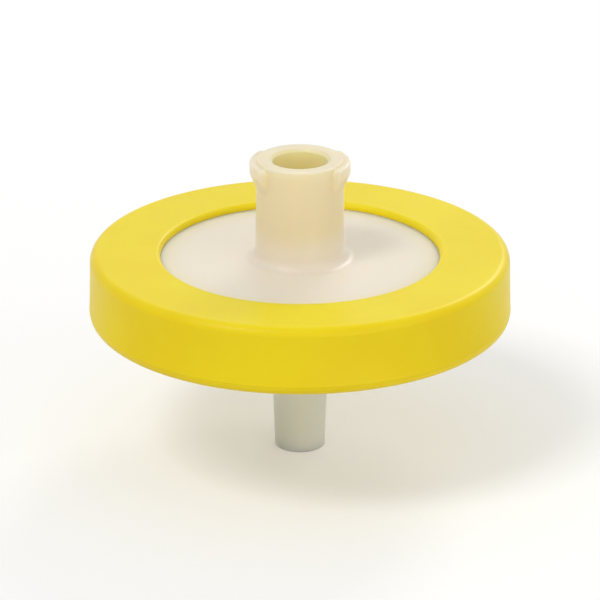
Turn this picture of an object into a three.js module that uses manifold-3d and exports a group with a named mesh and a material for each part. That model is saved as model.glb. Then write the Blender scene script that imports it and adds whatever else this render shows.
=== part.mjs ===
// Disposable syringe filter. A thin membrane disc is clamped between two moulded polypropylene halves,
// and a coloured ring is moulded round their rims to lock them together. The inlet half carries a female
// Luer port with two lugs, and the outlet half a male Luer slip port.
//
// Millimetres, +Z up. The common axis is Z. The outlet tip's flat end lies at z = 0, its centre is the
// origin, and the inlet port points up. The lugs lie along X.

import * as THREE from 'three';
import Module from 'manifold-3d';
import { mergeVertices } from 'three/addons/utils/BufferGeometryUtils.js';

// ---- Driving dimensions ----------------------------------------------------------------------------

// Membrane and the stack of the body, from the outlet face up to the inlet face
const membraneDiameter = 25;
const membraneThickness = 0.15;
const outletWall = 1.4; // outlet face to the floor of the drain grid
const gridHeight = 0.55; // ridges that carry the membrane
const chamberHeight = 0.85; // free space over the membrane
const inletWall = 1.45; // chamber roof to the inlet face

// Rims of the two halves, from the membrane's edge outwards
const membraneClearance = 0.1; // radial gap round the membrane and round the inlet half's spigot
const clampWidth = 0.8; // ring of membrane held between the two flat lands
const rimWall = 1.2; // upright wall of the outlet half round the membrane
const inletFlange = 0.8; // thickness of the inlet half's flange on that wall

// Ring moulded over the rims
const ringWall = 2.7; // outside the rims, at the widest edge
const lipWidth = 2.9; // how far each lip reaches in over the rims
const lipThickness = 1.05;
const faceRecess = 0.5; // how far each face lies below its lip
const ringEdgeRadius = 0.7; // outer edges
const lipEdgeRadius = 0.35; // inner edge of each lip
const ringDraft = 1.5; // degrees; the parting line is at the outlet-side edge
const gateDiameter = 1.6; // stub left where the ring's gate was broken off
const gateHeight = 0.3;

// Inlet port, a female Luer lock
const inletLength = 8.1; // inlet face to the port's end
const inletDiameter = 6.7; // at the end
const inletDraft = 1; // degrees
const inletFillet = 0.8;
const inletEdge = 0.2;
const socketMouth = 4.3;
const socketChamfer = 0.25;
const socketFloor = 1.05; // between the socket and the chamber
const inletBore = 2.6;
const lugDiameter = 7.83; // across the two lugs
const lugSpan = 80; // degrees of the port's circle that each lug covers
const lugSetback = 0.15; // lug top below the port's end
const lugCrest = 0.9;
const lugFlank = 1.3; // height of the slope from the crest down to the tube
const lugRoot = 0.4; // how far a lug reaches into the tube's wall

// Outlet port, a male Luer slip
const outletLength = 11.5; // outlet face to the tip
const tipDiameter = 3.97;
const tipEdge = 0.12;
const tipBore = 2.25;
const outletBore = 2.6; // at the face, where the bore opens into the drain grid
const outletFillet = 1.2;
const sumpDiameter = 4.4; // funnel at the middle of the drain grid
const sumpDepth = 0.45;

const luerTaper = 0.06; // change of diameter with length on both cones

// Ribs under the inlet half's roof and the drain grid of the outlet half
const ribCount = 12;
const ribThickness = 0.6;
const ribHeight = 0.6;
const ribStart = 2.4; // distance from the axis
const ridgeWidth = 0.6;
const ridgePitch = 1.5;
const channelWidth = 0.8; // straight drains across the ridges
const channelCount = 2; // each runs right across, so it makes two drains

// Faceting
const roundSteps = 48; // round the axis
const arcSteps = 4; // in each small fillet
const gateSteps = 12;

// ---- Places that follow from them ------------------------------------------------------------------

const outletFace = outletLength;
const gridFloor = outletFace + outletWall;
const membraneBottom = gridFloor + gridHeight;
const membraneTop = membraneBottom + membraneThickness;
const chamberRoof = membraneTop + chamberHeight;
const inletFace = chamberRoof + inletWall;
const portEnd = inletFace + inletLength;

const ringBottom = outletFace - faceRecess;
const ringTop = inletFace + faceRecess;
const ringHeight = ringTop - ringBottom;
const flangeBottom = ringBottom + lipThickness;
const flangeTop = ringTop - lipThickness;
const seam = flangeTop - inletFlange; // where the two halves meet

const membraneRadius = membraneDiameter / 2;
const chamberRadius = membraneRadius - clampWidth;
const pocketRadius = membraneRadius + membraneClearance;
const flangeRadius = pocketRadius + rimWall;
const faceRadius = flangeRadius - lipWidth;
const ringRadius = flangeRadius + ringWall;
const inletRadius = inletDiameter / 2;
const tipRadius = tipDiameter / 2;

const overshoot = 0.5; // how far a cutting tool runs past the surface it opens

// ---- Shared shape tools ----------------------------------------------------------------------------

const wasm = await Module();
wasm.setup();

const radians = THREE.MathUtils.degToRad;

// Points on an arc of the section, from one angle to another in degrees; r is right and z is up.
function arc(centreR, centreZ, radius, fromAngle, toAngle, steps = arcSteps) {
  return Array.from({ length: steps + 1 }, (_, i) => {
    const angle = radians(fromAngle + ((toAngle - fromAngle) * i) / steps);
    return [centreR + radius * Math.cos(angle), centreZ + radius * Math.sin(angle)];
  });
}

// A closed three.js geometry as a solid that can be joined and cut.
function solid(geometry) {
  geometry.deleteAttribute('normal');
  geometry.deleteAttribute('uv');
  const merged = mergeVertices(geometry, 1e-4);
  const index = merged.index.array;
  const kept = [];
  for (let i = 0; i < index.length; i += 3) {
    const [a, b, c] = index.slice(i, i + 3);
    if (a !== b && b !== c && c !== a) kept.push(a, b, c);
  }
  return new wasm.Manifold(
    new wasm.Mesh({
      numProp: 3,
      vertProperties: new Float32Array(merged.attributes.position.array),
      triVerts: new Uint32Array(kept),
    }),
  );
}

// A section turned round Z. Its [r, z] points run counter-clockwise, and start and end on the axis or
// come back to the first point.
function turned(section) {
  const points = section.map(([r, z]) => new THREE.Vector2(r, z));
  const geometry = new THREE.LatheGeometry(points, roundSteps);
  geometry.rotateX(Math.PI / 2);
  return solid(geometry);
}

function closed(section) {
  return [...section, section[0]];
}

// A box that runs out from the axis in a given direction, for ribs and drains.
function radialBar(fromRadius, toRadius, width, bottom, top, degrees) {
  const geometry = new THREE.BoxGeometry(toRadius - fromRadius, width, top - bottom);
  geometry.translate((fromRadius + toRadius) / 2, 0, (bottom + top) / 2);
  geometry.rotateZ(radians(degrees));
  return solid(geometry);
}

function named(name, manifold, material) {
  const mesh = manifold.getMesh();
  const geometry = new THREE.BufferGeometry();
  geometry.setAttribute('position', new THREE.BufferAttribute(mesh.vertProperties, 3));
  geometry.setIndex(new THREE.BufferAttribute(mesh.triVerts, 1));
  geometry.computeVertexNormals();
  const part = new THREE.Mesh(geometry, material);
  part.name = name;
  return part;
}

// ---- Inlet half ------------------------------------------------------------------------------------

// Disc, flange, spigot and port as one solid of revolution, with the port still unbored.
function inletBlank() {
  const rootRadius = inletRadius + (inletLength - inletFillet) * Math.tan(radians(inletDraft));
  return turned([
    [0, chamberRoof],
    [chamberRadius, chamberRoof],
    [chamberRadius, membraneTop],
    [membraneRadius, membraneTop],
    [membraneRadius, seam],
    [flangeRadius, seam],
    [flangeRadius, flangeTop],
    [faceRadius, flangeTop],
    [faceRadius, inletFace],
    ...arc(rootRadius + inletFillet, inletFace + inletFillet, inletFillet, 270, 180),
    ...arc(inletRadius - inletEdge, portEnd - inletEdge, inletEdge, 0, 90, 2),
    [0, portEnd],
  ]);
}

// The tapered socket that takes a syringe's nozzle, and the narrower bore from it into the chamber.
function socketCut() {
  const socketBottom = chamberRoof + socketFloor;
  const bottomRadius = (socketMouth - (portEnd - socketBottom) * luerTaper) / 2;
  const mouthRadius = socketMouth / 2;
  return turned([
    [0, chamberRoof - overshoot],
    [inletBore / 2, chamberRoof - overshoot],
    [inletBore / 2, socketBottom],
    [bottomRadius, socketBottom],
    [mouthRadius - (socketChamfer * luerTaper) / 2, portEnd - socketChamfer],
    [mouthRadius + socketChamfer, portEnd],
    [mouthRadius + socketChamfer, portEnd + overshoot],
    [0, portEnd + overshoot],
  ]);
}

// Two flat-topped lugs with sloping undersides, cut from one collar by a pair of wedges.
function lugs() {
  const top = portEnd - lugSetback;
  const crestEdge = inletEdge / 2;
  const lugRadius = lugDiameter / 2;
  const inner = inletRadius - lugRoot;
  const collar = turned(
    closed([
      [inner, top - lugCrest - lugFlank],
      [inletRadius, top - lugCrest - lugFlank],
      [lugRadius, top - lugCrest],
      [lugRadius, top - crestEdge],
      [lugRadius - crestEdge, top],
      [inner, top],
    ]),
  );
  const reach = lugDiameter;
  const halfSpan = radians(lugSpan / 2);
  const wedge = new THREE.Shape([
    new THREE.Vector2(0, 0),
    new THREE.Vector2(reach * Math.cos(halfSpan), -reach * Math.sin(halfSpan)),
    new THREE.Vector2(reach * Math.cos(halfSpan), reach * Math.sin(halfSpan)),
  ]);
  const wedges = [0, Math.PI].map((turn) => {
    const geometry = new THREE.ExtrudeGeometry(wedge, { depth: inletLength, bevelEnabled: false });
    geometry.translate(0, 0, portEnd - inletLength);
    geometry.rotateZ(turn);
    return solid(geometry);
  });
  return collar.intersect(wedges[0]).add(collar.intersect(wedges[1]));
}

// Spokes under the roof that spread the flow and keep the membrane off it.
function spokes() {
  const reach = chamberRadius + clampWidth / 2;
  const foot = chamberRoof - ribHeight;
  const top = chamberRoof + overshoot;
  return Array.from({ length: ribCount }, (_, i) =>
    radialBar(ribStart, reach, ribThickness, foot, top, (i * 360) / ribCount),
  );
}

function inletHousing() {
  let half = inletBlank().add(lugs());
  for (const spoke of spokes()) half = half.add(spoke);
  return half.subtract(socketCut());
}

// ---- Outlet half -----------------------------------------------------------------------------------

// Tip, disc and upright rim as one solid of revolution, still unbored and with a plain grid floor.
function outletBlank() {
  const rootRadius = tipRadius + ((outletLength - outletFillet) * luerTaper) / 2;
  return turned([
    [0, 0],
    [tipRadius - tipEdge, 0],
    [tipRadius, tipEdge],
    ...arc(rootRadius + outletFillet, outletFace - outletFillet, outletFillet, 180, 90),
    [faceRadius, outletFace],
    [faceRadius, flangeBottom],
    [flangeRadius, flangeBottom],
    [flangeRadius, seam],
    [pocketRadius, seam],
    [pocketRadius, membraneBottom],
    [chamberRadius, membraneBottom],
    [chamberRadius, gridFloor],
    [0, gridFloor],
  ]);
}

// Round ridges that carry the membrane, cut through by straight drains. Midway between two drains a
// rib ties the ridges to the chamber's wall.
function drainGrid() {
  const bottom = gridFloor - overshoot / 2;
  const rings = [];
  let inner = chamberRadius - ridgePitch;
  while (inner > sumpDiameter / 2) {
    const outer = inner + ridgeWidth;
    const section = [[inner, bottom], [outer, bottom], [outer, membraneBottom], [inner, membraneBottom]];
    rings.push(turned(closed(section)));
    inner -= ridgePitch;
  }
  const innermost = inner + ridgePitch;
  const spacing = 180 / channelCount;
  let ridges = rings.reduce((all, ring) => all.add(ring));
  for (let i = 0; i < 2 * channelCount; i += 1) {
    const from = innermost + ridgeWidth / 2;
    const to = chamberRadius + clampWidth / 2;
    ridges = ridges.add(radialBar(from, to, ridgeWidth, bottom, membraneBottom, (i + 0.5) * spacing));
  }
  for (let i = 0; i < channelCount; i += 1) {
    const top = membraneBottom + overshoot;
    ridges = ridges.subtract(
      radialBar(-chamberRadius, chamberRadius, channelWidth, bottom - overshoot, top, i * spacing),
    );
  }
  return ridges;
}

function outletCut() {
  const sumpBottom = gridFloor - sumpDepth;
  return turned([
    [0, -overshoot],
    [tipBore / 2, -overshoot],
    [tipBore / 2, 0],
    [outletBore / 2, sumpBottom],
    [sumpDiameter / 2, gridFloor],
    [sumpDiameter / 2, gridFloor + overshoot],
    [0, gridFloor + overshoot],
  ]);
}

function outletHousing() {
  return outletBlank().subtract(outletCut()).add(drainGrid());
}

// ---- Membrane and ring -----------------------------------------------------------------------------

function membrane() {
  return turned([
    [0, membraneBottom],
    [membraneRadius, membraneBottom],
    [membraneRadius, membraneTop],
    [0, membraneTop],
  ]);
}

// A channel section that wraps the rims of both halves and ends in a lip over each.
function ringBody() {
  const slope = Math.tan(radians(ringDraft));
  const topRadius = ringRadius - (ringHeight - 2 * ringEdgeRadius) * slope;
  const lipCentre = faceRadius + lipEdgeRadius;
  return turned(
    closed([
      [faceRadius, flangeBottom],
      ...arc(lipCentre, ringBottom + lipEdgeRadius, lipEdgeRadius, 180, 270, 3),
      ...arc(ringRadius - ringEdgeRadius, ringBottom + ringEdgeRadius, ringEdgeRadius, 270, 360),
      ...arc(topRadius - ringEdgeRadius, ringTop - ringEdgeRadius, ringEdgeRadius, 0, 90),
      ...arc(lipCentre, ringTop - lipEdgeRadius, lipEdgeRadius, 90, 180, 3),
      [faceRadius, flangeTop],
      [flangeRadius, flangeTop],
      [flangeRadius, flangeBottom],
    ]),
  );
}

// The broken-off gate, on the widest part of the wall and on the +Y side.
function gateStub() {
  const length = gateHeight + ringWall / 2;
  const geometry = new THREE.CylinderGeometry(gateDiameter / 2, gateDiameter / 2, length, gateSteps);
  geometry.translate(0, ringRadius + gateHeight - length / 2, ringBottom + ringEdgeRadius + gateDiameter / 2);
  return solid(geometry);
}

// ---- Materials and assembly ------------------------------------------------------------------------

const naturalPlastic = new THREE.MeshStandardMaterial({ color: 0xe6e0d2, roughness: 0.4, metalness: 0 });
const yellowPlastic = new THREE.MeshStandardMaterial({ color: 0xe6c928, roughness: 0.42, metalness: 0 });
const membraneSheet = new THREE.MeshStandardMaterial({ color: 0xf4f3ee, roughness: 0.9, metalness: 0 });

const syringeFilter = new THREE.Group();
syringeFilter.add(
  named('inlet_housing', inletHousing(), naturalPlastic),
  named('membrane', membrane(), membraneSheet),
  named('outlet_housing', outletHousing(), naturalPlastic),
  named('outer_ring', ringBody().add(gateStub()), yellowPlastic),
);

export default syringeFilter;
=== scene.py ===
"""A disposable syringe filter, finished piece by piece round its engineering model.

Two moulded polypropylene halves hold a round membrane, and a yellow ring is moulded over their rims.
The inlet half carries a female Luer port with two lugs, the outlet half a male Luer tip. Everything is
in metres. The common axis is Z, the outlet tip stands on z = 0 and the lugs lie along X.
"""

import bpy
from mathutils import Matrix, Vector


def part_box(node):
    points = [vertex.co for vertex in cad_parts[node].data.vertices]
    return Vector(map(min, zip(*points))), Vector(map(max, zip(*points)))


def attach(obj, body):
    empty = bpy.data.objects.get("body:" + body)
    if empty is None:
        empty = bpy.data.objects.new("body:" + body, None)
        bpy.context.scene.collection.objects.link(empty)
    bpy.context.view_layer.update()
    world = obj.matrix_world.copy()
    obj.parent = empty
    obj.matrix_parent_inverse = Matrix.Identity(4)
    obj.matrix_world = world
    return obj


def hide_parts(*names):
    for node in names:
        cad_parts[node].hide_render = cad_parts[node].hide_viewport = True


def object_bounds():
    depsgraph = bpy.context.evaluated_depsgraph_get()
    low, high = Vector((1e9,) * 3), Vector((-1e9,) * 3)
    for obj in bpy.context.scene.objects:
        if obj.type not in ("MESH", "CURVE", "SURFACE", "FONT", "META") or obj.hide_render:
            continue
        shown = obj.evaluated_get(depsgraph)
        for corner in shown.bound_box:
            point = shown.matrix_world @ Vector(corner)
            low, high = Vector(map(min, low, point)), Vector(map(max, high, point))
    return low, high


bl_info = {
    "name": "Syringe filter",
    "version": (1, 0, 0),
    "blender": (4, 5, 0),
    "location": "3D View > Sidebar > Syringe filter",
    "description": "Builds and finishes each piece of a disposable syringe filter, and its stage",
    "category": "Object",
}

import math

import bmesh
import bpy
from mathutils import Matrix, Vector

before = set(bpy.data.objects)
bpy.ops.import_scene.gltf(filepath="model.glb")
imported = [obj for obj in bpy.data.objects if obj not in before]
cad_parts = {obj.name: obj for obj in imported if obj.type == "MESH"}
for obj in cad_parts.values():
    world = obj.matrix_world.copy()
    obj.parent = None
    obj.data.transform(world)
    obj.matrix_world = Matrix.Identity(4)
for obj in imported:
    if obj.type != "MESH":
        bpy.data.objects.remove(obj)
ENGINEERING_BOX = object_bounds()

BODY = "root"
MM = 0.001
WELD = 0.0001 * MM  # points closer than this are one point

# Points round the axis
HALF_STEPS = 240  # inlet and outlet half
RING_STEPS = 288
MEMBRANE_STEPS = 120
GATE_STEPS = 40  # round the gate stub

SHARP_FROM = math.radians(38)  # edges that turn more than this are shaded sharp

# Roundings that are too small to be sizes of their own
HIDDEN_EDGE = 0.05 * MM  # inside a joint
SEAM_EDGE = 0.1 * MM  # rims of the two halves
FLUSH_EDGE = 0.03 * MM  # where a face meets the ring that is moulded against it


# ---- Places that the engineering model gives -------------------------------------------------------


class Places:
    """Radii and heights that the finished pieces share with the engineering model."""

    def __init__(self):
        inlet_low, inlet_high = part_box("inlet_housing")
        outlet_low, outlet_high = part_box("outlet_housing")
        sheet_low, sheet_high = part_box("membrane")
        ring_low, ring_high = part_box("outer_ring")
        self.port_end = inlet_high.z
        self.tip_end = outlet_low.z
        self.seam = outlet_high.z  # where the two halves meet
        self.rim_radius = inlet_high.x
        self.sheet_radius = sheet_high.x
        self.sheet_bottom = sheet_low.z
        self.sheet_top = sheet_high.z
        self.ring_radius = ring_high.x
        self.ring_bottom = ring_low.z
        self.ring_top = ring_high.z
        self.gate_end = ring_high.y


AT = Places()


# ---- Sizes and colours that a user would change ----------------------------------------------------


def length(name, description, default):
    """A length in metres, given in millimetres."""
    return bpy.props.FloatProperty(
        name=name,
        description=description,
        default=default * MM,
        min=0.0,
        unit="LENGTH",
        subtype="DISTANCE",
        precision=5,
    )


def angle(name, description, default):
    """An angle, given in degrees."""
    return bpy.props.FloatProperty(
        name=name, description=description, default=math.radians(default), unit="ROTATION", subtype="ANGLE"
    )


def amount(name, description, default):
    """A share from 0 to 1."""
    return bpy.props.FloatProperty(
        name=name, description=description, default=default, min=0.0, max=1.0, subtype="FACTOR"
    )


def power(name, description, default):
    """A lamp's power in watts."""
    return bpy.props.FloatProperty(
        name=name, description=description, default=default, min=0.0, unit="POWER"
    )


def count(name, description, default):
    """A number of like features."""
    return bpy.props.IntProperty(name=name, description=description, default=default, min=1)


def colour(name, description, default):
    """A colour in linear red, green and blue."""
    return bpy.props.FloatVectorProperty(
        name=name, description=description, default=default, min=0.0, max=1.0, size=3, subtype="COLOR"
    )


class FilterBodySizes(bpy.types.PropertyGroup):
    """Sizes that the two halves and the ring share."""

    face_recess: length("Face recess", "How far each face lies below the ring's lip", 0.5)
    lip_width: length("Lip width", "How far each lip of the ring reaches in over the rims", 2.9)
    lip_thickness: length("Lip thickness", "Height of each lip of the ring", 1.05)
    clamp_width: length("Clamp width", "Rim of the membrane held between the halves", 0.8)
    rim_wall: length("Rim wall", "Upright wall of the outlet half round the membrane", 1.2)
    edge: length("Edge", "Rounding of the moulded edges of the two halves", 0.12)


class InletHalfSizes(bpy.types.PropertyGroup):
    """Sizes of the inlet half."""

    tube_diameter: length("Port diameter", "Outside of the port at its end", 6.7)
    tube_draft: angle("Port draft", "Slope of the port's outer wall", 1.0)
    root_fillet: length("Root fillet", "Rounding between the port and the face", 0.8)
    mouth_diameter: length("Socket mouth", "Diameter of the socket at the port's end", 4.3)
    mouth_chamfer: length("Mouth chamfer", "Lead-in at the socket's mouth", 0.25)
    taper: amount("Luer taper", "Change of diameter with length in the socket", 0.06)
    socket_floor: length("Socket floor", "From the chamber's roof to the socket's bottom", 1.05)
    bore_diameter: length("Bore", "Hole from the socket into the chamber", 2.6)
    roof_height: length("Chamber height", "Free space over the membrane", 0.85)
    lug_diameter: length("Across the lugs", "Outside of the two lugs", 7.83)
    lug_span: angle("Lug span", "Part of the port's circle that one lug covers", 80.0)
    lug_end: angle("Lug end", "Angle over which a lug falls away at each of its ends", 8.0)
    lug_setback: length("Lug setback", "Lug top below the port's end", 0.15)
    lug_crest: length("Lug crest", "Height of a lug's outer wall", 0.9)
    lug_flank: length("Lug flank", "Height of the slope under a lug", 1.3)
    rib_count: count("Ribs", "Spokes under the chamber's roof", 12)
    rib_thickness: length("Rib thickness", "Thickness of each spoke", 0.6)
    rib_height: length("Rib height", "Height of each spoke", 0.6)
    rib_start: length("Rib start", "Distance of the spokes' inner ends from the axis", 2.4)


class OutletHalfSizes(bpy.types.PropertyGroup):
    """Sizes of the outlet half."""

    tip_diameter: length("Tip diameter", "Outside of the tip at its end", 3.97)
    tip_edge: length("Tip edge", "Rounding of the tip's end", 0.12)
    taper: amount("Luer taper", "Change of diameter with length on the tip", 0.06)
    root_fillet: length("Root fillet", "Rounding between the tip and the face", 1.2)
    bore_diameter: length("Tip bore", "Hole at the tip's end", 2.25)
    bore_top_diameter: length("Upper bore", "Hole where it opens into the drain grid", 2.6)
    sump_diameter: length("Sump diameter", "Funnel at the middle of the drain grid", 4.4)
    sump_depth: length("Sump depth", "Depth of that funnel", 0.45)
    grid_height: length("Ridge height", "Ridges that carry the membrane", 0.55)
    ridge_width: length("Ridge width", "Width of each round ridge", 0.6)
    ridge_pitch: length("Ridge pitch", "From one ridge to the next", 1.5)
    drain_width: length("Drain width", "Gap in the ridges at each straight drain", 0.8)
    drain_count: count("Drains", "Straight drains from the middle outwards", 4)


class RingSizes(bpy.types.PropertyGroup):
    """Sizes of the moulded ring."""

    outer_edge: length("Outer edges", "Rounding of the outer edges", 0.7)
    lip_edge: length("Lip edges", "Rounding of the inner edge of each lip", 0.35)
    draft: angle("Draft", "Slope of the outer wall", 1.5)
    witness_height: length("Witness line", "How far the mould's parting line stands out", 0.025)
    witness_width: length("Witness width", "Width of that line", 0.09)
    gate_diameter: length("Gate diameter", "Stub left where the gate was broken off", 1.6)


class FinishColours(bpy.types.PropertyGroup):
    """Colours of the three materials."""

    natural: colour("Natural plastic", "Unpigmented polypropylene of the two faces", (0.865, 0.775, 0.64))
    # Partly painted light: the port's honey tint is partly its thicker wall and partly painted yellow light
    # from yellow things round it.
    port_plastic_and_painted_light: colour("Port plastic", "The same plastic in the port's wall", (0.985, 0.80, 0.56))
    # Painted light: the tip's plastic is paler than the faces to make up for the ring's shade over it, and
    # the same pale colour lightens the dark bottom of the socket.
    tip_plastic_and_painted_light: colour("Tip plastic", "The same plastic in the tip's wall", (0.995, 0.895, 0.755))
    # Painted glow: warm yellow light painted inside the socket towards its mouth.
    painted_mouth_glow: colour("Mouth plastic", "In the socket, lit through its wall", (0.99, 0.84, 0.46))
    # Painted glow: the ring's yellow painted onto the rim of each face, as light that shines through the
    # plastic.
    painted_ring_glow: colour("Edge plastic", "A face's rim, where the ring shines through", (0.88, 0.74, 0.36))
    clearness: amount("Clearness", "Light that passes straight through a face", 0.08)
    port_clearness: amount("Port clearness", "Light that passes straight through the port and the tip", 0.20)
    yellow: colour("Yellow plastic", "Pigmented plastic of the ring", (0.84, 0.685, 0.013))
    # Partly painted shade: the deep yellow marks random clouds of denser pigment and also darkens the outer
    # wall as painted shade.
    deep_yellow_and_shade: colour("Deep yellow", "Where the pigment lies denser", (0.78, 0.555, 0.006))
    broken: colour("Broken gate", "Torn plastic at the gate's stub", (0.86, 0.73, 0.10))
    sheet: colour("Membrane", "Porous membrane", (0.94, 0.935, 0.91))


class StageSettings(bpy.types.PropertyGroup):
    """Floor, light and camera."""

    floor_colour: colour("Floor", "Floor under the filter", (0.80, 0.80, 0.80))
    floor_lift: amount("Floor lift", "White that only the view of the floor gains", 0.19)
    far_lift: amount("Far lift", "More of that white far away, where the floor meets the sky", 0.34)
    sky: amount("Sky", "Strength of the even light from all round", 0.61)
    key: power("Key lamp", "Watts of the main lamp, high at the front left", 4.6)
    fill: power("Fill lamp", "Watts of the low lamp at the right", 1.1)
    low: power("Low lamp", "Watts of the lamp near the floor at the front, which lights the tip", 1.2)
    back: power("Back lamp", "Watts of the lamp behind the filter", 2.5)
    elevation: angle("Camera elevation", "Height of the view over the ring's plane", 22.0)
    lens: bpy.props.FloatProperty(
        name="Lens",
        description="Focal length in millimetres",
        default=250.0,
        min=1.0,
        subtype="DISTANCE_CAMERA",
    )
    frame_width: length("Frame width", "What the camera takes in across the filter", 47.0)


# ---- Section and mesh tools ------------------------------------------------------------------------


def rounded(corners, steps=7, support=0.04 * MM):
    """Closed section through corners (r, z) or (r, z, radius), with an arc at each corner that has a radius.

    Each arc gets one more point just before and one just after it, which keeps the flats beside it flat.
    """
    room = 3 * support  # what a flat needs before it takes such a point
    points = []
    for i, corner in enumerate(corners):
        here = Vector(corner[:2])
        radius = corner[2] if len(corner) > 2 else 0.0
        before, after = Vector(corners[i - 1][:2]), Vector(corners[(i + 1) % len(corners)][:2])
        to_before, to_after = (before - here).normalized(), (after - here).normalized()
        half = to_before.angle(to_after) / 2
        if radius <= 0.0 or math.pi / 2 - half < 1e-4:
            points.append(here)
            continue
        reach = radius / math.tan(half)
        centre = here + (to_before + to_after).normalized() * (radius / math.sin(half))
        start, end = here + to_before * reach - centre, here + to_after * reach - centre
        turn = start.angle_signed(end)
        if (before - here).length > reach + room:
            points.append(centre + start + to_before * support)
        for k in range(steps + 1):
            spin = Matrix.Rotation(-turn * k / steps, 2)
            points.append(centre + spin @ start)
        if (after - here).length > reach + room:
            points.append(centre + end + to_after * support)
    return [(p.x, p.y) for p in points]


def round_the_axis(steps, denser_and_shaded=(), dense_steps=12):
    """Angles for one turn, with more of them inside each dense (from, to) span."""
    turn = 2 * math.pi
    half_step = turn / steps / 2
    angles = [turn * i / steps for i in range(steps)]
    for start, end in denser_and_shaded:
        angles = [a for a in angles if (a - start) % turn >= end - start + half_step]
        angles += [(start + (end - start) * k / dense_steps) % turn for k in range(dense_steps + 1)]
    return sorted(angles)


def turned(section_at, angles):
    """Mesh of a closed section turned round Z. section_at gives the section at an angle."""
    shape = bmesh.new()
    rows = []
    for a in angles:
        cos, sin = math.cos(a), math.sin(a)
        rows.append([shape.verts.new((r * cos, r * sin, z)) for r, z in section_at(a)])
    size = len(rows[0])
    for i, row in enumerate(rows):
        following = rows[(i + 1) % len(rows)]
        for j in range(size):
            k = (j + 1) % size
            shape.faces.new((row[j], following[j], following[k], row[k]))
    bmesh.ops.remove_doubles(shape, verts=shape.verts, dist=0.1 * WELD)  # a disc's middle is one point
    bmesh.ops.recalc_face_normals(shape, faces=shape.faces)
    return shape


def bar(shape, start, end, width, bottom, top, direction):
    """Adds a straight bar that runs out from the axis in a direction."""
    turn = Matrix.Rotation(direction, 4, "Z")
    middle = Matrix.Translation(((start + end) / 2, 0, (bottom + top) / 2))
    size = Matrix.Diagonal((end - start, width, top - bottom, 1))
    bmesh.ops.create_cube(shape, size=1.0, matrix=turn @ middle @ size)


def bent_bar(shape, inner, outer, bottom, top, start, end, steps=24):
    """Adds a bar of square section bent round the axis, from one angle to another."""
    rows = []
    for k in range(steps + 1):
        a = start + (end - start) * k / steps
        cos, sin = math.cos(a), math.sin(a)
        section = ((inner, bottom), (outer, bottom), (outer, top), (inner, top))
        rows.append([shape.verts.new((r * cos, r * sin, z)) for r, z in section])
    for row, following in zip(rows, rows[1:]):
        for j in range(4):
            shape.faces.new((row[j], following[j], following[j - 3], row[j - 3]))
    shape.faces.new(rows[0])
    shape.faces.new(reversed(rows[-1]))
    bmesh.ops.recalc_face_normals(shape, faces=shape.faces)


def piece(name, shape):
    """A new object made from a bmesh."""
    mesh = bpy.data.meshes.new(name)
    shape.to_mesh(mesh)
    shape.free()
    made = bpy.data.objects.new(name, mesh)
    bpy.context.scene.collection.objects.link(made)
    return made


def join(base, shape):
    """Unites a bmesh with a piece, and leaves one closed skin without slivers."""
    tool = piece("joined_" + base.name, shape)
    union = base.modifiers.new("union", "BOOLEAN")
    union.operation, union.solver, union.object = "UNION", "EXACT", tool
    union.use_self = True
    bpy.context.view_layer.update()
    whole = bpy.data.meshes.new_from_object(base.evaluated_get(bpy.context.evaluated_depsgraph_get()))
    base.modifiers.clear()
    old, base.data = base.data, whole
    whole.name = base.name
    bpy.data.meshes.remove(old)
    bpy.data.objects.remove(tool)
    skin = bmesh.new()
    skin.from_mesh(whole)
    bmesh.ops.remove_doubles(skin, verts=skin.verts, dist=WELD)
    bmesh.ops.dissolve_degenerate(skin, edges=skin.edges, dist=WELD)
    skin.to_mesh(whole)
    skin.free()


def settle(made, material, slot, *nodes):
    """Gives a finished piece its shading, material and place in the frame, where it stands for nodes."""
    made.data.materials.clear()
    made.data.materials.append(material)
    made.data.shade_smooth()
    made.data.set_sharp_from_angle(angle=SHARP_FROM)
    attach(made, BODY)
    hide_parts(*nodes)


# ---- Shader tools ----------------------------------------------------------------------------------


class Value:
    """An output socket. Arithmetic on it adds the Math nodes that work it out."""

    def __init__(self, nodes, socket):
        self.nodes, self.socket = nodes, socket

    def math(self, operation, *terms):
        """The value that one Math node works out from its terms."""
        return self.nodes.add("ShaderNodeMath", {"operation": operation}, dict(enumerate(terms)))["Value"]

    def __add__(self, other):
        return self.math("ADD", self, other)

    def __radd__(self, other):
        return self.math("ADD", other, self)

    def __sub__(self, other):
        return self.math("SUBTRACT", self, other)

    def __rsub__(self, other):
        return self.math("SUBTRACT", other, self)

    def __mul__(self, other):
        return self.math("MULTIPLY", self, other)

    def __rmul__(self, other):
        return self.math("MULTIPLY", other, self)

    def __pow__(self, other):
        return self.math("POWER", self, other)

    def __or__(self, other):
        """The larger of two masks."""
        return self.math("MAXIMUM", self, other)


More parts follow.
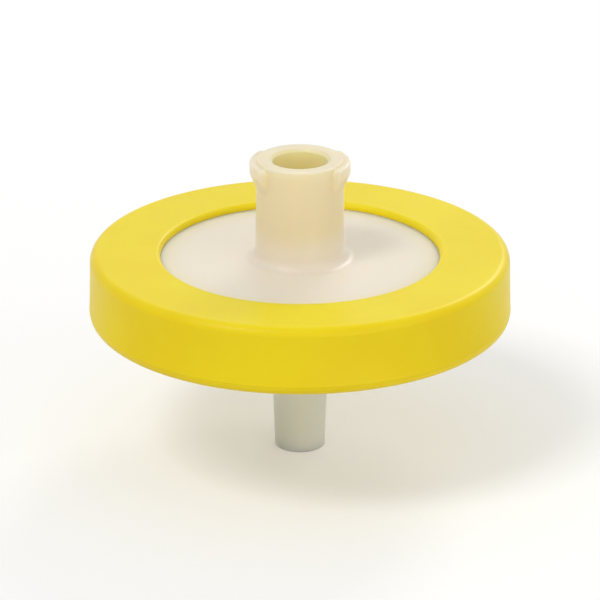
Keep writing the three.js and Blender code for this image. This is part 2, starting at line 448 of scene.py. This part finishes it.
class Nodes:
    """The nodes of one material or world."""

    def __init__(self, owner):
        owner.use_nodes = True
        self.tree = owner.node_tree
        self.tree.nodes.clear()

    def add(self, kind, settings=None, sockets=None):
        """Adds a node and returns its outputs by name. Settings go in first, then socket values and links."""
        node = self.tree.nodes.new(kind)
        for key, setting in (settings or {}).items():
            setattr(node, key, setting)
        live = [s for s in node.inputs if s.enabled]
        for key, given in (sockets or {}).items():
            socket = live[key] if isinstance(key, int) else next(s for s in live if s.name == key)
            if isinstance(given, Value):
                self.tree.links.new(given.socket, socket)
            elif socket.type == "RGBA" and len(given) == 3:
                socket.default_value = (*given, 1.0)
            else:
                socket.default_value = given
        return {s.name: Value(self, s) for s in node.outputs if s.enabled}

    def mix(self, one, other, factor):
        """A colour between two colours."""
        settings = {"data_type": "RGBA", "blend_type": "MIX"}
        return self.add("ShaderNodeMix", settings, {"Factor": factor, "A": one, "B": other})["Result"]

    def ramp(self, value, low, high):
        """0 at low, 1 at high and a smooth rise between them."""
        settings = {"interpolation_type": "SMOOTHSTEP", "clamp": True}
        sockets = {"Value": value, "From Min": low, "From Max": high, "To Min": 0.0, "To Max": 1.0}
        return self.add("ShaderNodeMapRange", settings, sockets)["Result"]

    def noise(self, where, size, detail=2.0, roughness=0.5):
        """Noise from 0 to 1 whose blobs measure about size metres."""
        sockets = {"Vector": where, "Scale": 1.0 / size, "Detail": detail, "Roughness": roughness}
        return self.add("ShaderNodeTexNoise", {"noise_dimensions": "3D"}, sockets)["Fac"]

    def bump(self, height, depth, strength=1.0, under=None):
        """A normal from a height that runs from 0 to 1 over a depth in metres."""
        sockets = {"Height": height, "Distance": depth, "Strength": strength}
        if under is not None:
            sockets["Normal"] = under
        return self.add("ShaderNodeBump", {}, sockets)["Normal"]

    def place(self):
        """The point on the piece, in metres, and its x, y and z."""
        point = self.add("ShaderNodeTexCoord")["Object"]
        parts = self.add("ShaderNodeSeparateXYZ", {}, {"Vector": point})
        return point, parts["X"], parts["Y"], parts["Z"]

    def principled(self, sockets):
        """A Principled shader with the given sockets."""
        return self.add("ShaderNodeBsdfPrincipled", {"subsurface_method": "RANDOM_WALK"}, sockets)["BSDF"]

    def surface(self, shader):
        """Makes a shader the material's surface."""
        self.add("ShaderNodeOutputMaterial", {}, {"Surface": shader})


def material_called(name):
    """The one material of that name, cleared, and its nodes."""
    material = bpy.data.materials.get(name) or bpy.data.materials.new(name)
    return material, Nodes(material)


# ---- Materials -------------------------------------------------------------------------------------

POLYPROPYLENE_IOR = 1.49


def natural_polypropylene(colours, body):
    """Milky unpigmented plastic with a fine satin mould finish. Light passes into it and scatters.

    The thin walls of the port and the tip let more light straight through than the faces do.
    The colour also carries painted light: a painted yellow glow of the ring on the rim of each face, a
    painted warm glow in the socket's mouth, a partly painted honey tint on the port, and a tip and socket
    bottom painted paler against their shade. Both halves share the one material.
    """
    material, nodes = material_called("natural_polypropylene")
    point, x, y, z = nodes.place()
    cloud = nodes.noise(point, 4.0 * MM, 3.0)
    grain = nodes.noise(point, 0.10 * MM, 2.0, 0.6)
    waves = nodes.noise(point, 1.8 * MM, 2.0)
    distance = (x * x + y * y) ** 0.5

    # Each mask fades over a few millimetres, as the light that spreads in the plastic does.
    near_axis = 1 - nodes.ramp(distance, 3.4 * MM, 4.8 * MM)
    in_the_socket = 1 - nodes.ramp(distance, 2.15 * MM, 2.45 * MM)
    above = nodes.ramp(z, AT.ring_top - 0.4 * MM, AT.ring_top + 2.6 * MM)
    below = 1 - nodes.ramp(z, AT.ring_bottom - 2.6 * MM, AT.ring_bottom + 0.4 * MM)
    # Where the painted glow inside the socket's mouth lies.
    near_mouth = nodes.ramp(z, AT.port_end - 5.5 * MM, AT.port_end - 1.5 * MM)
    face_radius = AT.rim_radius - body.lip_width
    # Where the painted yellow glow of the ring lies on each face.
    near_ring = nodes.ramp(distance, face_radius - 2.2 * MM, face_radius + 0.2 * MM)
    thin_wall = near_axis * (above | below | in_the_socket)

    # The face's rim gets the painted yellow glow of the ring, its strength varied by the clouds.
    face = nodes.mix(colours.natural, colours.painted_ring_glow, near_ring * (0.35 + 0.2 * cloud))
    # In the socket: the tip's paler colour deep down, as painted light, and a painted warm glow towards the
    # mouth.
    socket = nodes.mix(colours.tip_plastic_and_painted_light, colours.painted_mouth_glow, near_mouth)
    # The port's wall takes its partly painted honey tint; inside the socket it takes the socket's colours.
    port = nodes.mix(colours.port_plastic_and_painted_light, socket, in_the_socket)
    # Below the ring the wall takes the tip's colour, painted paler against the ring's shade.
    wall = nodes.mix(colours.tip_plastic_and_painted_light, port, above)
    finish = {
        "Base Color": nodes.mix(face, wall, thin_wall * 0.9 + cloud * 0.1),
        "Roughness": 0.29 + 0.12 * waves,
        "IOR": POLYPROPYLENE_IOR,
        "Subsurface Weight": 1.0,
        "Subsurface Radius": (1.0, 0.85, 0.65),
        "Subsurface Scale": 1.6 * MM,
        "Sheen Weight": 0.4,
        "Sheen Roughness": 0.35,
        "Sheen Tint": (1.0, 0.96, 0.90),
        "Normal": nodes.bump(grain, 0.004 * MM, 0.6, nodes.bump(waves, 0.02 * MM, 0.5)),
    }
    faces, ports = (
        nodes.principled(finish | {"Transmission Weight": clearness})
        for clearness in (colours.clearness, colours.port_clearness)
    )
    nodes.surface(nodes.add("ShaderNodeMixShader", {}, {0: thin_wall, 1: faces, 2: ports})["Shader"])
    return material


def yellow_overmould(colours):
    """Opaque pigmented plastic, satin from the mould, with faint clouds in its pigment and painted shade that
    deepens the yellow of its outer wall.
    """
    material, nodes = material_called("yellow_overmould")
    point, x, y, z = nodes.place()
    cloud = nodes.noise(point, 7.0 * MM, 3.0)
    waves = nodes.noise(point, 2.6 * MM, 2.0)
    grain = nodes.noise(point, 0.12 * MM, 2.0, 0.6)
    torn = nodes.noise(point, 0.25 * MM, 4.0, 0.7)
    distance = (x * x + y * y) ** 0.5
    on_gate = nodes.ramp(distance, AT.ring_radius + 0.02 * MM, AT.ring_radius + 0.16 * MM)
    # Painted shade: the ring's outer wall is deepened towards orange, as a side in shade is; the clouds are
    # random tone.
    shaded_wall = nodes.ramp(distance, AT.ring_radius - 0.9 * MM, AT.ring_radius - 0.2 * MM)
    denser_and_shaded = shaded_wall * 0.4 + nodes.ramp(cloud, 0.35, 0.7) * 0.32
    pigment = nodes.mix(colours.yellow, colours.deep_yellow_and_shade, denser_and_shaded)
    torn_end = nodes.bump(torn * on_gate, 0.12 * MM, 1.0)
    wavy = nodes.bump(waves, 0.03 * MM, 0.5, torn_end)
    finish = {
        "Base Color": nodes.mix(pigment, colours.broken, on_gate * (0.55 + 0.45 * torn)),
        "Roughness": 0.29 + 0.10 * waves + 0.25 * on_gate,
        "IOR": POLYPROPYLENE_IOR,
        "Specular IOR Level": 0.14,
        "Subsurface Weight": 0.18,
        "Subsurface Radius": (1.0, 0.6, 0.08),
        "Subsurface Scale": 0.8 * MM,
        "Normal": nodes.bump(grain, 0.005 * MM, 0.6, wavy),
    }
    nodes.surface(nodes.principled(finish))
    return material


def porous_membrane(colours):
    """Matt white polymer sheet with a fine open grain."""
    material, nodes = material_called("porous_membrane")
    point = nodes.place()[0]
    pores = nodes.noise(point, 0.05 * MM, 4.0, 0.7)
    cloud = nodes.noise(point, 3.0 * MM, 2.0)
    shade = tuple(part * 0.94 for part in colours.sheet)
    finish = {
        "Base Color": nodes.mix(colours.sheet, shade, cloud * 0.6 + pores * 0.4),
        "Roughness": 0.85 + 0.1 * pores,
        "Normal": nodes.bump(pores, 0.01 * MM, 0.6),
    }
    nodes.surface(nodes.principled(finish))
    return material


# ---- Pieces ----------------------------------------------------------------------------------------


def without_lug(section, wall, bottom, top):
    """The same section with the lug taken off: its points go back onto the port's wall, evenly spread."""
    proud = [j for j, (r, z) in enumerate(section) if bottom < z < top and r - wall(z) > 10 * WELD]
    first, last = proud[0] - 1, proud[-1] + 1
    low, high = section[first][1], section[last][1]
    plain = list(section)
    for j in range(first, last + 1):
        z = low + (high - low) * (j - first) / (last - first)
        plain[j] = (wall(z), z)
    return plain


def inlet_half(body, inlet, colours):
    """Disc, flange, port, lugs, socket, bore, chamber and ribs of the inlet half."""
    face = AT.ring_top - body.face_recess
    flange_top = AT.ring_top - body.lip_thickness
    face_radius = AT.rim_radius - body.lip_width
    roof = AT.sheet_top + inlet.roof_height
    chamber_radius = AT.sheet_radius - body.clamp_width
    spigot_radius = AT.sheet_radius
    tube_radius = inlet.tube_diameter / 2
    mouth_radius = inlet.mouth_diameter / 2
    socket_bottom = roof + inlet.socket_floor
    bottom_radius = mouth_radius - (AT.port_end - socket_bottom) * inlet.taper / 2
    bore_radius = inlet.bore_diameter / 2
    lug_top = AT.port_end - inlet.lug_setback
    lug_bottom = lug_top - inlet.lug_crest
    flank_bottom = lug_bottom - inlet.lug_flank
    lug_radius = inlet.lug_diameter / 2
    lug_foot = 0.6 * MM  # rounding where a lug's flank leaves the port's wall
    lug_shoulder = 0.3 * MM  # rounding between its flank and its crest
    lug_edge = 0.16 * MM
    rim_edge = 0.1 * MM  # outer edge of the port's end

    def wall(z):
        """Radius of the port's outer wall at a height."""
        return tube_radius + (AT.port_end - z) * math.tan(inlet.tube_draft)

    section = rounded(
        [
            (bore_radius, roof, body.edge),
            (chamber_radius, roof, body.edge),
            (chamber_radius, AT.sheet_top, HIDDEN_EDGE),
            (spigot_radius, AT.sheet_top, HIDDEN_EDGE),
            (spigot_radius, AT.seam, HIDDEN_EDGE),
            (AT.rim_radius, AT.seam, SEAM_EDGE),
            (AT.rim_radius, flange_top, SEAM_EDGE),
            (face_radius, flange_top, HIDDEN_EDGE),
            (face_radius, face, FLUSH_EDGE),
            (wall(face), face, inlet.root_fillet),
            (wall(flank_bottom), flank_bottom, lug_foot),
            (lug_radius, lug_bottom, lug_shoulder),
            (lug_radius, lug_top, lug_edge),
            (wall(lug_top), lug_top, 0.04 * MM),
            (tube_radius, AT.port_end, rim_edge),
            (mouth_radius + inlet.mouth_chamfer, AT.port_end, 0.06 * MM),
            (mouth_radius, AT.port_end - inlet.mouth_chamfer, 0.08 * MM),
            (bottom_radius, socket_bottom, 0.15 * MM),
            (bore_radius, socket_bottom, body.edge),
        ]
    )
    plain = without_lug(section, wall, flank_bottom - lug_foot, AT.port_end - 1.1 * rim_edge)
    half, end = inlet.lug_span / 2, inlet.lug_end
    lug_ends = [side + s * half for side in (0.0, math.pi) for s in (-1, 1)]
    ramps = [(middle - end / 2, middle + end / 2) for middle in lug_ends]

    def section_at(a):
        """The section with the lug where a lug is, without it elsewhere, and a smooth change between."""
        off = abs((a + math.pi / 2) % math.pi - math.pi / 2)
        share = min(max((half + end / 2 - off) / end, 0.0), 1.0)
        share = share * share * (3 - 2 * share)
        return [(p + (r - p) * share, q + (z - q) * share) for (p, q), (r, z) in zip(plain, section)]

    made = piece("inlet_half", turned(section_at, round_the_axis(HALF_STEPS, ramps)))
    ribs = bmesh.new()
    outer = chamber_radius + body.clamp_width / 2
    foot, root = roof - inlet.rib_height, roof + 0.4 * MM  # each root reaches into the roof
    for i in range(inlet.rib_count):
        direction = 2 * math.pi * i / inlet.rib_count
        bar(ribs, inlet.rib_start, outer, inlet.rib_thickness, foot, root, direction)
    join(made, ribs)
    settle(made, natural_polypropylene(colours, body), "natural_plastic", "inlet_housing")
    return made


def outlet_half(body, outlet, colours):
    """Tip, bore, disc, upright rim and drain grid of the outlet half."""
    face = AT.ring_bottom + body.face_recess
    flange_bottom = AT.ring_bottom + body.lip_thickness
    face_radius = AT.rim_radius - body.lip_width
    floor = AT.sheet_bottom - outlet.grid_height
    chamber_radius = AT.sheet_radius - body.clamp_width
    pocket_radius = AT.rim_radius - body.rim_wall
    tip_radius = outlet.tip_diameter / 2
    root_radius = tip_radius + (face - AT.tip_end) * outlet.taper / 2
    sump_radius = outlet.sump_diameter / 2

    section = rounded(
        [
            (outlet.bore_diameter / 2, AT.tip_end, 0.1 * MM),
            (tip_radius, AT.tip_end, outlet.tip_edge),
            (root_radius, face, outlet.root_fillet),
            (face_radius, face, FLUSH_EDGE),
            (face_radius, flange_bottom, HIDDEN_EDGE),
            (AT.rim_radius, flange_bottom, SEAM_EDGE),
            (AT.rim_radius, AT.seam, SEAM_EDGE),
            (pocket_radius, AT.seam, SEAM_EDGE),
            (pocket_radius, AT.sheet_bottom, HIDDEN_EDGE),
            (chamber_radius, AT.sheet_bottom, HIDDEN_EDGE),
            (chamber_radius, floor, body.edge),
            (sump_radius, floor, body.edge),
            (outlet.bore_top_diameter / 2, floor - outlet.sump_depth, body.edge),
        ]
    )
    made = piece("outlet_half", turned(lambda a: section, round_the_axis(HALF_STEPS)))

    # Round ridges with a gap at each drain, and a straight rib halfway between every two drains.
    ridges, ribs = bmesh.new(), bmesh.new()
    foot = floor - 0.2 * MM  # each foot reaches into the floor
    spacing = 2 * math.pi / outlet.drain_count
    inner = chamber_radius - outlet.ridge_pitch
    while inner > sump_radius:
        gap = math.asin(outlet.drain_width / 2 / inner)
        for i in range(outlet.drain_count):
            start, end = i * spacing + gap, (i + 1) * spacing - gap
            bent_bar(ridges, inner, inner + outlet.ridge_width, foot, AT.sheet_bottom, start, end)
        inner -= outlet.ridge_pitch
    innermost = inner + outlet.ridge_pitch + outlet.ridge_width / 2
    outermost = chamber_radius + body.clamp_width / 2
    for i in range(outlet.drain_count):
        bar(ribs, innermost, outermost, outlet.ridge_width, foot, AT.sheet_bottom, (i + 0.5) * spacing)
    join(made, ridges)
    join(made, ribs)
    settle(made, natural_polypropylene(colours, body), "natural_plastic", "outlet_housing")
    return made


def membrane_disc(body, colours):
    """The membrane, a flat disc whose rim the two halves clamp."""
    free_radius = AT.sheet_radius - body.clamp_width
    radii = [0.0, free_radius / 2, free_radius, AT.sheet_radius]
    section = [(r, AT.sheet_bottom) for r in radii] + [(r, AT.sheet_top) for r in reversed(radii)]
    made = piece("membrane_disc", turned(lambda a: section, round_the_axis(MEMBRANE_STEPS)))
    settle(made, porous_membrane(colours), "membrane_sheet", "membrane")
    return made


def gate_stub(radius, height):
    """The broken gate, turned round a line along Y at a height. Its foot flares and its end is torn."""
    wall, end = AT.ring_radius, AT.gate_end
    outline = [
        (radius * 0.8, wall - 1.0 * MM),
        (radius * 1.25, wall - 0.12 * MM),
        (radius, wall + 0.06 * MM),
        (radius * 0.96, end - 0.06 * MM),
        (radius * 0.88, end - 0.02 * MM),
        (radius * 0.6, end - 0.09 * MM),
        (radius * 0.3, end - 0.03 * MM),
    ]
    torn_from = 4  # the outline's points from here on lie on the broken end
    roughness = 0.025 * MM
    stub = bmesh.new()
    rings = []
    for k, (r, y) in enumerate(outline):
        row = []
        for i in range(GATE_STEPS):
            a = 2 * math.pi * i / GATE_STEPS
            torn = roughness * (math.sin(3 * a + k) + math.sin(7 * a + 2 * k)) * (k >= torn_from)
            point = (r * math.cos(a), min(y + torn, end), height + r * math.sin(a))
            row.append(stub.verts.new(point))
        rings.append(row)
    for row, following in zip(rings, rings[1:]):
        for i in range(GATE_STEPS):
            stub.faces.new((row[i], row[i - 1], following[i - 1], following[i]))
    stub.faces.new(rings[0])
    stub.faces.new(reversed(rings[-1]))
    bmesh.ops.recalc_face_normals(stub, faces=stub.faces)
    return stub


def moulded_ring(body, ring, colours):
    """Yellow ring with its two lips, drafted wall, parting line and broken gate."""
    slope = math.tan(ring.draft)
    face_radius = AT.rim_radius - body.lip_width
    flange_bottom = AT.ring_bottom + body.lip_thickness
    flange_top = AT.ring_top - body.lip_thickness
    widest = AT.ring_radius - ring.witness_height
    parting = AT.ring_bottom + ring.outer_edge + ring.witness_width
    top_radius = widest - (AT.ring_top - parting) * slope
    half = ring.witness_width / 2  # of the parting line
    section = rounded(
        [
            (face_radius, flange_bottom),
            (face_radius, AT.ring_bottom, ring.lip_edge),
            (widest - 0.01 * MM, AT.ring_bottom, ring.outer_edge),  # a trace of draft below the line
            (widest, parting - half),
            (widest + ring.witness_height, parting, 0.02 * MM),
            (widest, parting + half),
            (top_radius, AT.ring_top, ring.outer_edge),
            (face_radius, AT.ring_top, ring.lip_edge),
            (face_radius, flange_top),
            (AT.rim_radius, flange_top),
            (AT.rim_radius, flange_bottom),
        ],
        steps=10,
    )
    made = piece("moulded_ring", turned(lambda a: section, round_the_axis(RING_STEPS)))
    gate_radius = ring.gate_diameter / 2
    join(made, gate_stub(gate_radius, parting + half + gate_radius))
    settle(made, yellow_overmould(colours), "yellow_plastic", "outer_ring")
    return made


# ---- Stage -----------------------------------------------------------------------------------------

WHITE = (1.0, 1.0, 1.0)
FLOOR_REACH = 3.0  # metres each way from the axis
FAR_STARTS, FAR_ENDS = 0.12, 0.8  # where the floor begins to whiten, and where it is whitest


def lamp(name, watts, size, place, target):
    """A square area lamp at a place, turned to a target."""
    light = bpy.data.lights.new(name, "AREA")
    light.energy, light.size = watts, size
    holder = bpy.data.objects.new(name, light)
    holder.location = place
    holder.rotation_euler = (Vector(target) - Vector(place)).to_track_quat("-Z", "Y").to_euler()
    holder.visible_camera = False
    bpy.context.scene.collection.objects.link(holder)


def looked_at(nodes):
    """1 for a ray of sight, straight, mirrored or refracted, and 0 for a ray that gathers light."""
    ray = nodes.add("ShaderNodeLightPath")
    return ray["Is Camera Ray"] | ray["Is Glossy Ray"] | ray["Is Transmission Ray"]


def pale_floor(stage, height):
    """The floor. Where it is looked at it gains white, and more of it far away, but it keeps the shadow."""
    corners = [(x * FLOOR_REACH, y * FLOOR_REACH, height) for x, y in ((-1, -1), (1, -1), (1, 1), (-1, 1))]
    mesh = bpy.data.meshes.new("floor")
    mesh.from_pydata(corners, [], [(0, 1, 2, 3)])
    floor = bpy.data.objects.new("floor", mesh)
    bpy.context.scene.collection.objects.link(floor)
    material, nodes = material_called("pale_floor")
    paint = nodes.add("ShaderNodeBsdfDiffuse", {}, {"Color": tuple(stage.floor_colour)})["BSDF"]
    x, y = nodes.place()[1:3]
    far = nodes.ramp((x * x + y * y) ** 0.5, FAR_STARTS, FAR_ENDS)
    strength = looked_at(nodes) * (stage.floor_lift + stage.far_lift * far)
    lift = nodes.add("ShaderNodeEmission", {}, {"Color": WHITE, "Strength": strength})["Emission"]
    nodes.surface(nodes.add("ShaderNodeAddShader", {}, {0: paint, 1: lift})["Shader"])
    floor.data.materials.append(material)


def even_light(stage):
    """Soft light from all round, in front of a white background."""
    world = bpy.data.worlds.new("even_light")
    bpy.context.scene.world = world
    nodes = Nodes(world)
    strength = stage.sky + (1.0 - stage.sky) * looked_at(nodes)
    sky = nodes.add("ShaderNodeBackground", {}, {"Color": WHITE, "Strength": strength})["Background"]
    nodes.add("ShaderNodeOutputWorld", {}, {"Surface": sky})


def camera_at(stage, target):
    """A long lens that looks level at the filter's width and down on it from the front."""
    data = bpy.data.cameras.new("camera")
    data.lens = stage.lens
    distance = stage.frame_width * data.lens / data.sensor_width
    data.clip_start, data.clip_end = distance * 0.05, 20.0
    camera = bpy.data.objects.new("camera", data)
    back = Vector((0.0, -math.cos(stage.elevation), math.sin(stage.elevation)))
    camera.location = target + back * distance
    camera.rotation_euler = (-back).to_track_quat("-Z", "Y").to_euler()
    bpy.context.scene.collection.objects.link(camera)
    bpy.context.scene.camera = camera


def build_stage(stage):
    """Pale floor, even light, four lamps and the camera."""
    low, high = ENGINEERING_BOX
    target = Vector(((low.x + high.x) / 2, 0.0, (low.z + high.z) / 2 + 0.2 * MM))
    pale_floor(stage, low.z)
    even_light(stage)
    # Each lamp with its power, its size and its place, in metres.
    lamp("key_lamp", stage.key, 0.42, (-0.55, -0.45, 1.00), target)
    lamp("fill_lamp", stage.fill, 0.60, (0.75, -0.45, 0.45), target)
    lamp("low_lamp", stage.low, 0.50, (0.45, -0.85, 0.16), target)
    lamp("back_lamp", stage.back, 0.35, (0.35, 0.85, 0.60), target)
    camera_at(stage, target)
    bpy.context.scene.view_settings.view_transform = "Standard"


# ---- Operators -------------------------------------------------------------------------------------


class BuildInletHalf(bpy.types.Operator):
    """Build the inlet half with its port, lugs and ribs"""

    bl_idname = "syringe_filter.inlet_half"
    bl_label = "Inlet half"

    def execute(self, context):
        scene = context.scene
        inlet_half(scene.filter_body, scene.filter_inlet, scene.filter_colours)
        return {"FINISHED"}


class BuildMembrane(bpy.types.Operator):
    """Build the membrane disc"""

    bl_idname = "syringe_filter.membrane"
    bl_label = "Membrane"

    def execute(self, context):
        scene = context.scene
        membrane_disc(scene.filter_body, scene.filter_colours)
        return {"FINISHED"}


class BuildOutletHalf(bpy.types.Operator):
    """Build the outlet half with its tip and drain grid"""

    bl_idname = "syringe_filter.outlet_half"
    bl_label = "Outlet half"

    def execute(self, context):
        scene = context.scene
        outlet_half(scene.filter_body, scene.filter_outlet, scene.filter_colours)
        return {"FINISHED"}


class BuildRing(bpy.types.Operator):
    """Build the yellow ring that is moulded over the rims"""

    bl_idname = "syringe_filter.ring"
    bl_label = "Moulded ring"

    def execute(self, context):
        scene = context.scene
        moulded_ring(scene.filter_body, scene.filter_ring, scene.filter_colours)
        return {"FINISHED"}


class BuildStage(bpy.types.Operator):
    """Build the floor, the lamps and the camera"""

    bl_idname = "syringe_filter.stage"
    bl_label = "Stage"

    def execute(self, context):
        build_stage(context.scene.filter_stage)
        return {"FINISHED"}


class SyringeFilterPanel(bpy.types.Panel):
    """Sizes, colours and builders of the syringe filter"""

    bl_idname = "VIEW3D_PT_syringe_filter"
    bl_label = "Syringe filter"
    bl_space_type = "VIEW_3D"
    bl_region_type = "UI"
    bl_category = "Syringe filter"

    def draw(self, context):
        for builder in OPERATORS:
            self.layout.operator(builder.bl_idname)
        for attribute, group in SETTINGS.items():
            box = self.layout.box()
            for name in group.__annotations__:
                box.prop(getattr(context.scene, attribute), name)


SETTINGS = {
    "filter_body": FilterBodySizes,
    "filter_inlet": InletHalfSizes,
    "filter_outlet": OutletHalfSizes,
    "filter_ring": RingSizes,
    "filter_colours": FinishColours,
    "filter_stage": StageSettings,
}
OPERATORS = (BuildOutletHalf, BuildMembrane, BuildInletHalf, BuildRing, BuildStage)


def register():
    for group in (*SETTINGS.values(), *OPERATORS, SyringeFilterPanel):
        bpy.utils.register_class(group)
    for attribute, group in SETTINGS.items():
        setattr(bpy.types.Scene, attribute, bpy.props.PointerProperty(type=group))


def unregister():
    for attribute in SETTINGS:
        delattr(bpy.types.Scene, attribute)
    for group in reversed((*SETTINGS.values(), *OPERATORS, SyringeFilterPanel)):
        bpy.utils.unregister_class(group)


def main():
    register()
    bpy.ops.syringe_filter.outlet_half()
    bpy.ops.syringe_filter.membrane()
    bpy.ops.syringe_filter.inlet_half()
    bpy.ops.syringe_filter.ring()
    bpy.ops.syringe_filter.stage()


if __name__ == "__main__":
    main()
